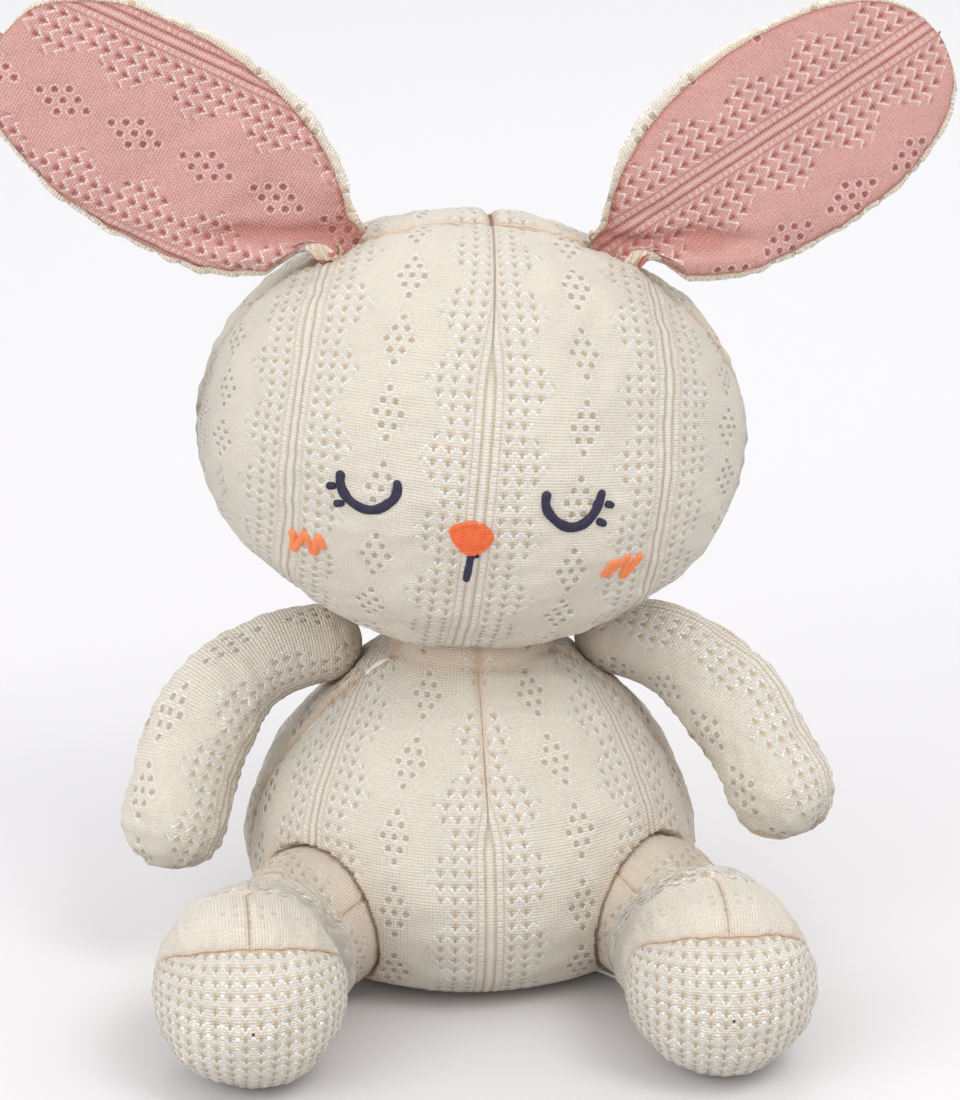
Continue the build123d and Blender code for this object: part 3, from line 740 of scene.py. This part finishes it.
for side in ("left", "right"):
    rs = rings(ARM[side])
    limb_panel(f"arm_{side}_front_cover", rs, -math.pi / 2, math.pi / 2, f"arm_{side}", f"arm_{side}_front_panel", 14.0, seed=31)
    limb_panel(f"arm_{side}_back_cover", rs, math.pi / 2, 1.5 * math.pi, f"arm_{side}", f"arm_{side}_back_panel", 3.0, seed=32)
    c, ax, rr, dist = rings(LEG[side], 1.83)
    foot = np.array(LEG[side][1][0], float)

    def rim_angle(phi):
        """Where the big front panel of the foot starts, measured from straight ahead, for an angle round the leg."""
        return np.interp(np.abs(np.arctan2(np.sin(phi), np.cos(phi))), np.radians([0, 20, 45, 60, 75, 95, 180]), np.radians([51, 53, 65, 81, 97, 104, 104]))

    x = np.array([0, -1, 0.3]) - ax * (ax @ np.array([0, -1, 0.3]))[:, None]
    x /= np.linalg.norm(x, axis=1, keepdims=True)
    y = np.cross(ax, x)
    for lo, hi in ((0.0, math.pi), (-math.pi, 0.0)):
        plus_x = (y[-1][0] > 0) == (lo == 0.0)
        which = "outer" if plus_x == (side == "left") else "inner"
        phi = np.linspace(lo, hi, int(24 * math.pi / STEP))[None]
        body_p = c[:, None] + rr[:, None, None] * (np.cos(phi)[..., None] * x[:, None] + np.sin(phi)[..., None] * y[:, None])
        k = np.linspace(0, 1, int(24 * 0.93 / STEP))[1:, None]
        al = 1.83 + (rim_angle(phi) - 1.83) * k
        cap = foot + 24.0 * np.stack([-np.sin(al) * np.sin(phi), -np.cos(al) + 0 * phi, np.sin(al) * np.cos(phi)], -1)
        p = np.concatenate([body_p, cap], 0)
        cen = np.concatenate([np.repeat(c[:, None], phi.shape[1], 1), np.broadcast_to(foot, cap.shape)], 0)
        n, flip = outward(p, cen)
        along_leg = np.concatenate([dist[:, None] + 0 * phi, dist[-1] + 24 * (1.83 - al)], 0)
        radius = np.concatenate([rr[:, None] + 0 * phi, 24 * np.sin(al)], 0)
        to_rim = along_leg[-1:] - along_leg
        d_side = np.minimum(phi - lo, hi - phi) * radius
        d = np.minimum(d_side, to_rim)
        down, crease = seam(d, np.where(to_rim < d_side, phi * 24, along_leg), 0.75, 0.8)
        # painted seam shade, stronger at the foot's rim
        crease = crease * np.where(to_rim < d_side, 0.75, 0.4)
        u, v = 14.5 + to_rim * 0.9, phi * radius
        amp = 0.35 + 0.65 * sm(to_rim, 14, 26)
        h, _, _ = knit(u, v, Num, 1.25)
        gather = 0.22 * np.sin(to_rim * (2 * math.pi / 2.4) + 1.2 * np.sin(phi * 3.0)) * np.exp(-((to_rim - 5.0) / 5.0) ** 2) * np.exp(-(np.cos(phi) - 1) ** 2 / 0.8)
        disp = h * 0.5 * amp + gather + 0.35 * lumps(p, 20, 8, 41) + 0.16 * lumps(p, 6.0, 10, 50) + down
        root = np.exp(-np.maximum(along_leg - 44.0, 0) / 7.0)
        disp = disp * (1 - root) + np.minimum(disp, -0.35) * root
        # painted shade at the hip
        crease = np.clip(crease + 0.35 * root, 0, 1)
        q = p + n * disp[..., None]
        ed = ("left", "right", "top")
        q, _ = lip(q, n, ed)
        m = Build(f"leg_{side}_{which}_cover")
        m.grid(q, grow_edges(u, ed), grow_edges(v, ed), grow_edges(crease, ed), flip, amp=grow_edges(amp, ed))
        m.done(CREAM, f"leg_{side}", "cream_knit", f"leg_{side}_{which}_panel", fill=0.85)
    # the stuffing follows the cover
    ph = np.linspace(0, 2 * math.pi, 48, endpoint=False)[None]
    pick = slice(None, None, 3)
    tube = c[pick][:, None] + rr[pick][:, None, None] * (np.cos(ph)[..., None] * x[pick][:, None] + np.sin(ph)[..., None] * y[pick][:, None])
    al = np.linspace(1.8, 0.03, 26)[:, None]
    ball_ = foot + 24.0 * np.stack([-np.sin(al) * np.sin(ph), -np.cos(al) + 0 * ph, np.sin(al) * np.cos(ph)], -1)
    mids = np.concatenate([c[pick], np.repeat(foot[None], len(al), 0)])[:, None]
    tube = np.concatenate([tube, ball_], 0)
    toward = tube - mids
    start = np.array(LEG[side][0][0], float)
    hipside = (np.linalg.norm(tube - start, axis=-1) < 20.6)[..., None]
    toward = np.where(hipside, tube - start, toward)
    tube = tube - toward / np.maximum(np.linalg.norm(toward, axis=-1, keepdims=True), 1e-6) * 2.6
    m = Build(f"leg_{side}_fill")
    m.grid(tube, 0.0, 0.0, 0.0, outward(tube, tube.mean(1, keepdims=True))[1], wrap_cols=True)
    m.done(PLAIN["polyester_filling"], f"leg_{side}", "polyester_filling", f"leg_{side}_stuffing", fill=0.85)
    # the foot's front panel
    ph = np.linspace(0, 2 * math.pi, int(2 * math.pi * 22 / STEP), endpoint=False)[None]
    k = np.linspace(1, 0.01, int(24 * 1.4 / STEP))[:, None]
    a = rim_angle(ph) * k
    n = np.stack([-np.sin(a) * np.sin(ph), -np.cos(a), np.sin(a) * np.cos(ph)], -1)
    p = foot + 24 * n
    u = 7.15 + np.abs(wrap(24 * a * np.sin(ph) + 3.75, 7.5, Num) - 3.75)
    v = 24 * a * np.cos(ph)
    down, crease = seam((rim_angle(ph) - a) * 24, ph * 22, 0.75, 0.9)
    h, _, _ = knit(u, v, Num, 1.25)
    q = p + n * (h * 0.5 + 0.35 * lumps(p, 20, 8, 41) + 0.16 * lumps(p, 6.0, 10, 50) + down)[..., None]
    m = Build(f"foot_{side}_sole_cover")
    q = np.concatenate([(q[:1] - n[:1] * 1.8), (q[:1] - n[:1] * 0.9), q], 0)
    m.grid(q, np.concatenate([u[:1], u[:1], u]), np.concatenate([v[:1], v[:1], v]), np.concatenate([crease[:1], crease[:1], crease]),
           outward(p, foot)[1], wrap_cols=True)
    m.done(CREAM, f"leg_{side}", "cream_knit", f"foot_{side}_sole_panel", fill=0.85)

# ------------------------------------------------------------------ ears
HALF_WIDTH = [(-4.0, 5.0), (0.0, 6.5), (5.0, 11.5), (11.0, 17.2), (20.0, 22.6), (31.0, 26.2), (43.0, 27.8), (55.0, 28.0), (68.0, 26.6),
              (79.0, 24.0), (89.0, 19.2), (96.0, 12.0), (99.0, 0.4)]


def ear_point(side, s, w, z):
    """Blade coordinates to the toy's own, with the fold pinched in at the root."""
    d, y, f = ear_axes(side)
    up = 1 if y[2] > 0 else -1              # which sign of w is the ear's upper edge
    W = np.interp(s, [a for a, _ in HALF_WIDTH], [b for _, b in HALF_WIDTH])
    q = np.clip(np.abs(w) / np.maximum(W, 1), 0, 1.05)
    fold = 4.5 * np.exp(-(s / 16.0) ** 2) * q ** 1.5
    fold = fold + 1.6 * np.exp(-((s - 50) / 40.0) ** 2) * q ** 2.2
    e = (w * up + 0.56 * np.maximum(s, 0)) * 0.87      # square to the crease, + above it
    fade = (1 - sm(s, 20, 42)) * sm(s, -4, 6)
    crease = np.exp(-((e - 0.6) / 2.6) ** 2)
    roll = np.exp(-((e + 5.0) / 4.2) ** 2)
    hollow = np.exp(-((e - 6.0) / 6.0) ** 2)
    ripple = 0.9 * np.sin(s / 11.0 + 1.0) * (w / 28.0) ** 2
    off = fold + fade * (3.0 * roll - 3.8 * crease - 1.6 * hollow) + ripple
    # the second value is the mask for painted shade in the fold
    return EAR_ROOT[side] + s[..., None] * d + w[..., None] * y + (z + off)[..., None] * f, crease * fade, up


def clear_of_head(side, p, gap=1.0):
    """Moves an ear's points so that they stay off the head wherever the ear flops."""
    d, y, f = ear_axes(side)
    root = EAR_ROOT[side]
    arm = p - root
    near = np.linalg.norm(arm - (arm @ y)[..., None] * y, axis=-1)
    free = sm(near, 5.0, 8.0)
    for _ in range(3):
        for a in (-30.0, -15.0, 0.0, 15.0, 30.0, 43.0, 55.0):
            t = math.radians(a)
            k = -y
            K = np.array([[0, -k[2], k[1]], [k[2], 0, -k[0]], [-k[1], k[0], 0]])
            R = np.eye(3) + math.sin(t) * K + (1 - math.cos(t)) * K @ K
            q = (p - root) @ R.T + root
            l = (q - HEAD_C) @ HEAD_R
            x, rho = np.abs(l[..., 0]), np.hypot(l[..., 1], l[..., 2])
            wide = x * (WIDE - HB) < (rho + (WIDE - HB)) * (HA - HR)
            cx, cr, cr0 = np.where(wide, 0.0, HA - HR), np.where(wide, HB - WIDE, 0.0), np.where(wide, WIDE, HR)
            vx, vr = x - cx, rho - cr
            length = np.maximum(np.hypot(vx, vr), 1e-6)
            need = np.maximum(cr0 + gap - length, 0) * free
            nx, nr = vx / length, vr / length
            move = np.stack([np.sign(l[..., 0]) * nx, nr * l[..., 1] / np.maximum(rho, 1e-6), nr * l[..., 2] / np.maximum(rho, 1e-6)], -1) * need[..., None]
            q = (l + move) @ HEAD_R.T + HEAD_C
            p = (q - root) @ R + root
    return p


def ear_z(q):
    return np.maximum(1 - np.minimum(np.abs(q), 1) ** (2 / 0.6), 0) ** 0.4


for side in ("left", "right"):
    plan = spline(HALF_WIDTH, int(125 / STEP))
    s1, W1 = plan[:, 0][:, None], np.maximum(plan[:, 1], 0.05)[:, None]
    Z1 = (4.5 - (s1 - 47.5) ** 2 / (2 * 577.7)) * np.sqrt(np.maximum(1 - (np.maximum(s1, 0) / 99.0) ** 14, 0.0)) * (0.62 + 0.38 * sm(s1, 0, 18))
    d, y, f = ear_axes(side)
    up = 1 if y[2] > 0 else -1
    # the cream back wraps over the upper edge, most near the root
    top_q = 1 - np.minimum((3.6 - 2.4 * sm(s1, 10, 70)) / np.maximum(W1, 2), 0.45)
    low_q = 1 - np.minimum(0.9 / np.maximum(W1, 2), 0.3)
    flat = np.linspace(0, 1, int(56 / STEP))[None]
    inner_q = (-low_q + (top_q + low_q) * flat)
    inner = (inner_q, ear_z(inner_q), np.minimum(inner_q + low_q, top_q - inner_q) * W1)
    ang = np.linspace(1, 0, 9)[None]
    top_a, low_a = np.arccos(np.clip(top_q, 0, 1) ** (1 / 0.6)), np.arccos(np.clip(low_q, 0, 1) ** (1 / 0.6))
    back_a = -np.linspace(0, 0.42, 7)[None][:, 1:] + 0 * s1
    qb = math.cos(0.42) ** 0.6
    back = np.linspace(qb, -qb, int(56 / STEP))[None][:, 1:-1] + 0 * s1

    def curve(a):
        return np.cos(a) ** 0.6, np.sign(np.sin(a)) * np.abs(np.sin(a)) ** 0.8

    q1, z1 = curve(top_a * ang)
    q2, z2 = curve(back_a)
    q3, z3 = curve(back_a[:, ::-1])
    q4, z4 = curve(low_a * ang[:, ::-1])
    outer_q = np.concatenate([q1, q2, back, -q3, -q4], 1)
    outer_z = np.concatenate([z1, z2, -ear_z(back), z3, z4], 1)
    gap = np.concatenate([(q1 - top_q), q2 * 0 + 3, back * 0 + 3, q3 * 0 + 3, (q4 - low_q)], 1) * W1
    outer = (outer_q, outer_z, np.clip(gap, 0, 9))
    covers = {}
    for kind, (qa, za, edge) in (("inner", inner), ("outer", outer)):
        w = W1 * qa * up
        s = np.broadcast_to(s1, w.shape)
        p, deep, _ = ear_point(side, s, w, Z1 * za)
        cen, _, _ = ear_point(side, s, w * 0.98, 0 * w)
        n, flip = outward(p, cen)
        if kind == "inner" and side == "left":
            u = w * up - 2.0 - 3.0 * s / 99.0
        elif kind == "inner":
            u = w * up - 25.0 - 2 + 8.5 * s / 99.0
        else:
            u = w * up + 2.0
        down, crease = seam(np.maximum(edge, 0), s + np.abs(w), 0.8, 1.0)
        h, _, _ = knit(u, s, Num, 1.25)
        disp = h * 0.5 + 0.3 * lumps(p, 16, 8, 51) + 0.15 * lumps(p, 6, 10, 52) + down
        disp = disp * sm(99 - s, 0, 5)
        # painted shade in the inner ear's pinched fold and at the root
        crease = np.clip(crease * (1.0 if kind == "inner" else 0.5) + deep * (0.6 if kind == "inner" else 0) + 0.6 * np.exp(-np.maximum(s, 0) / 4.0), 0, 1)
        q = p + n * disp[..., None]
        m = Build(f"ear_{side}_{kind}_cover")
        q, _ = lip(q, n, ("left", "right"))
        q = clear_of_head(side, q)
        ed = ("left", "right")
        m.grid(q, grow_edges(u, ed), grow_edges(s, ed), grow_edges(crease, ed), flip)
        m.done(PINK if kind == "inner" else CREAM, f"ear_{side}", "pink_knit" if kind == "inner" else "cream_knit",
               f"ear_{side}_{kind}_panel", fill=0.6)
    # the padding follows the fold
    ss = np.linspace(2.0, 93.0, 60)[:, None]
    Ws, Zs = np.interp(ss, s1[:, 0], W1[:, 0]), np.interp(ss, s1[:, 0], Z1[:, 0])
    ang = np.linspace(0, 2 * math.pi, 48, endpoint=False)[None]
    squeeze = np.sqrt(np.clip((ss - 1.9) / 4, 0.02, 1) * np.clip((93.1 - ss) / 6, 0.02, 1))
    w = np.cos(ang) * np.maximum(Ws - 3.5, 1.0) * squeeze
    z = np.sin(ang) * (Zs - 2.2) * squeeze
    p, _, _ = ear_point(side, ss + 0 * w, w, z)
    p = clear_of_head(side, p, 3.0)
    m = Build(f"ear_{side}_fill")
    m.grid(p, 0.0, 0.0, 0.0, outward(p, p.mean(1, keepdims=True))[1], wrap_cols=True)
    m.done(PLAIN["polyester_filling"], f"ear_{side}", "polyester_filling", f"ear_{side}_padding", fill=0.6)


# ------------------------------------------------------------------ embroidery
def on_head(x, z, lift):
    x, z = np.asarray(x, float), np.asarray(z, float)
    r = head_radius(x)
    y = -np.sqrt(np.maximum(r * r - z * z, 1.0))
    e = 0.05
    slope = (head_radius(x + e) - head_radius(x - e)) / (2 * e)
    n = np.stack([-slope * r / r, y / r, z / r], -1)
    n /= np.linalg.norm(n, axis=-1, keepdims=True)
    return np.stack([x, y, z], -1) + n * np.asarray(lift)[..., None], n


def cloth_lift(base, nor):
    w = to_world(base)
    return 0.45 * lumps(w) + 0.18 * lumps(w, 7.0, 12, 5)


def sewn(build, path, half, high, pitch, slant=0.35, lift=0.1, twist=0.3):
    """A raised row of stitches along a path of (x, z)."""
    pts = np.array(path, float)
    length = float(np.sum(np.linalg.norm(np.diff(pts, axis=0), axis=1)))
    n = max(6, int(length / 0.11))
    line = spline(pts, n) if len(pts) > 2 else np.linspace(pts[0], pts[1], n)
    base, nor = on_head(line[:, 0], line[:, 1], np.full(n, lift))
    base = base + nor * cloth_lift(base, nor)[:, None]
    tan = np.gradient(base, axis=0)
    tan /= np.linalg.norm(tan, axis=1, keepdims=True)
    side = np.cross(nor, tan)
    dist = np.concatenate([[0], np.cumsum(np.linalg.norm(np.diff(base, axis=0), axis=1))])
    c = np.linspace(-1, 1, 13)[None]
    cap = np.sqrt(np.clip(1 - np.clip(1 - np.minimum(dist, dist[-1] - dist) / half, 0, 1) ** 2, 0, 1))[:, None]
    rope = np.abs(np.sin(math.pi * (dist[:, None] / pitch + slant * c / pitch * half))) ** 0.6
    prof = np.sqrt(np.clip(1 - c * c, 0, 1)) ** 0.8
    wob = 1 + 0.06 * np.sin(dist / 0.9 + 1.3)[:, None]
    hh = high * prof * (1 - twist + twist * rope) * cap - 0.35
    p = base[:, None] + side[:, None] * (c * half * cap * wob)[..., None] + nor[:, None] * hh[..., None]
    q = to_world(p)
    build.grid(q, dist[:, None], c * half, 0.0, outward(q, to_world(base - nor * 2)[:, None])[1])


EYES = {
    "right": ([(-34.5, 2.5), (-34.4, -1), (-31.5, -4.6), (-26.9, -6.1), (-22.8, -4), (-20.6, -0.6), (-20.9, 2.9)],
              [[(-37.8, -2.4), (-35.2, -1.7)], [(-35.5, -6.4), (-32.7, -5.4)]]),
    "left": ([(16.2, 3.3), (16.1, -0.2), (19, -4.5), (22.9, -6.5), (26.8, -5.1), (29.1, -1.8), (30.2, 3.3)],
             [[(31, -0.5), (33.4, -0.9)], [(29.2, -4.7), (31.9, -5.9)]]),
}
for side, (arc_pts, lashes) in EYES.items():
    m = Build(f"eye_{side}_stitches")
    sewn(m, arc_pts, 1.3, 1.35, 0.62)
    for lash in lashes:
        sewn(m, lash, 1.0, 1.25, 0.6)
    m.done(NAVY, "head", "navy_thread", f"eye_embroidery_{side}")

NOSE = [(-7.1, -8.4), (-5.6, -6.7), (-2.2, -5.4), (1.6, -6.3), (3.9, -8.6), (3.6, -11.0), (2.0, -13.5), (-0.9, -15.2), (-3.7, -13.8), (-5.9, -11.2)]
m = Build("nose_stitches")
poly = np.array(NOSE + [NOSE[0]])
for k, z in enumerate(np.arange(-14.6, -5.6, 0.42)):
    xs = []
    for (x0, z0), (x1, z1) in zip(poly, poly[1:]):
        if (z0 - z) * (z1 - z) < 0:
            xs.append(x0 + (z - z0) / (z1 - z0) * (x1 - x0))
    if len(xs) == 2:
        a, b = min(xs) - 0.15 + 0.2 * math.sin(k * 2.1), max(xs) + 0.15 + 0.2 * math.sin(k * 3.3)
        if b - a > 0.5:
            sewn(m, [(a, z - 0.12), ((a + b) / 2, z), (b, z + 0.1)], 0.33, 1.35, 5.0, 0.0, 0.1, 0.05)
m.done(ORANGE, "head", "orange_thread", "nose_embroidery")
m = Build("mouth_stitches")
sewn(m, [(-0.9, -15.0), (-1.1, -19.3), (-1.3, -23.9)], 1.05, 1.05, 0.6, 0.2)
sewn(m, [(-0.6, -15.6), (1.2, -15.3)], 0.6, 0.9, 0.6, 0.2)
m.done(NAVY, "head", "navy_thread", "mouth_embroidery")
CHEEKS = {
    "right": [(-45.3, -17.9), (-44.3, -24.1), (-41.8, -16.9), (-39.2, -23.7), (-38.3, -16.5), (-36.8, -21.1)],
    "left": [(35.2, -15.7), (33.3, -22.2), (39.1, -15.4), (38.7, -23.6), (42.7, -15.9)],
}
for side, pts in CHEEKS.items():
    m = Build(f"cheek_{side}_stitches")
    for a, b in zip(pts, pts[1:]):
        sewn(m, [a, b], 1.15, 1.3, 0.62, 0.9)
    m.done(APRICOT, "head", "apricot_thread", f"cheek_embroidery_{side}")

# ------------------------------------------------------------------ the frame's own inner pieces
SLOT_OF = {s["node"]: s.get("material_slot") for s in FRAME["record"].get("subparts", [])}
for name, o in NODES.items():
    mat = PLAIN.get(SLOT_OF.get(name))
    if mat is None:
        continue
    o.data.materials.clear()
    o.data.materials.append(mat)

# ------------------------------------------------------------------ stage, light and camera
floor_m, fb = principled("floor", lin(217, 215, 215), 0.8)
bpy.ops.mesh.primitive_plane_add(size=8, location=(0, 0, -0.0002))
floor = bpy.context.object
floor.name = "floor"
floor.data.materials.append(floor_m)
bpy.ops.mesh.primitive_plane_add(size=8, location=(0, 3.5, 2), rotation=(math.radians(90), 0, 0))
wall = bpy.context.object
wall.name = "backdrop"
wall_m, _ = principled("wall", lin(232, 232, 234), 0.8)
wall.data.materials.append(wall_m)

world = bpy.data.worlds.new("studio")
bpy.context.scene.world = world
world.use_nodes = True
world.node_tree.nodes["Background"].inputs[0].default_value = (0.96, 0.97, 1.0, 1)
world.node_tree.nodes["Background"].inputs[1].default_value = 1.1


def area(name, loc, target, size, power, colour=(1, 1, 1)):
    d = bpy.data.lights.new(name, "AREA")
    d.size = size
    d.energy = power
    d.color = colour
    o = bpy.data.objects.new(name, d)
    bpy.context.scene.collection.objects.link(o)
    o.location = loc
    v = np.array(target) - np.array(loc)
    from mathutils import Vector
    o.rotation_euler = Vector(v).to_track_quat("-Z", "Y").to_euler()
    return o


area("key", (0.5, -0.7, 1.25), (0, 0, 0.1), 0.55, 5.4, (1.0, 0.99, 0.97))
area("fill", (-1.0, -0.85, 0.7), (0, 0, 0.1), 0.9, 6.0)
area("back", (0.2, 1.1, 1.2), (0, 0, 0.1), 0.8, 5)

cam = bpy.data.cameras.new("camera")
cam.sensor_fit = "HORIZONTAL"
cam.sensor_width = 36
cam.lens = 180.29
cam.clip_end = 50
co = bpy.data.objects.new("camera", cam)
bpy.context.scene.collection.objects.link(co)
place, target = np.array([-0.10135, -1.15277, 0.53403]), np.array([0.00103, 0.01737, 0.1065])
from mathutils import Vector
co.location = place
co.rotation_euler = Vector(target - place).to_track_quat("-Z", "Y").to_euler()
bpy.context.scene.camera = co
bpy.context.scene.view_settings.view_transform = "Standard"
bpy.context.scene.view_settings.look = "None"

bpy.context.view_layer.update()
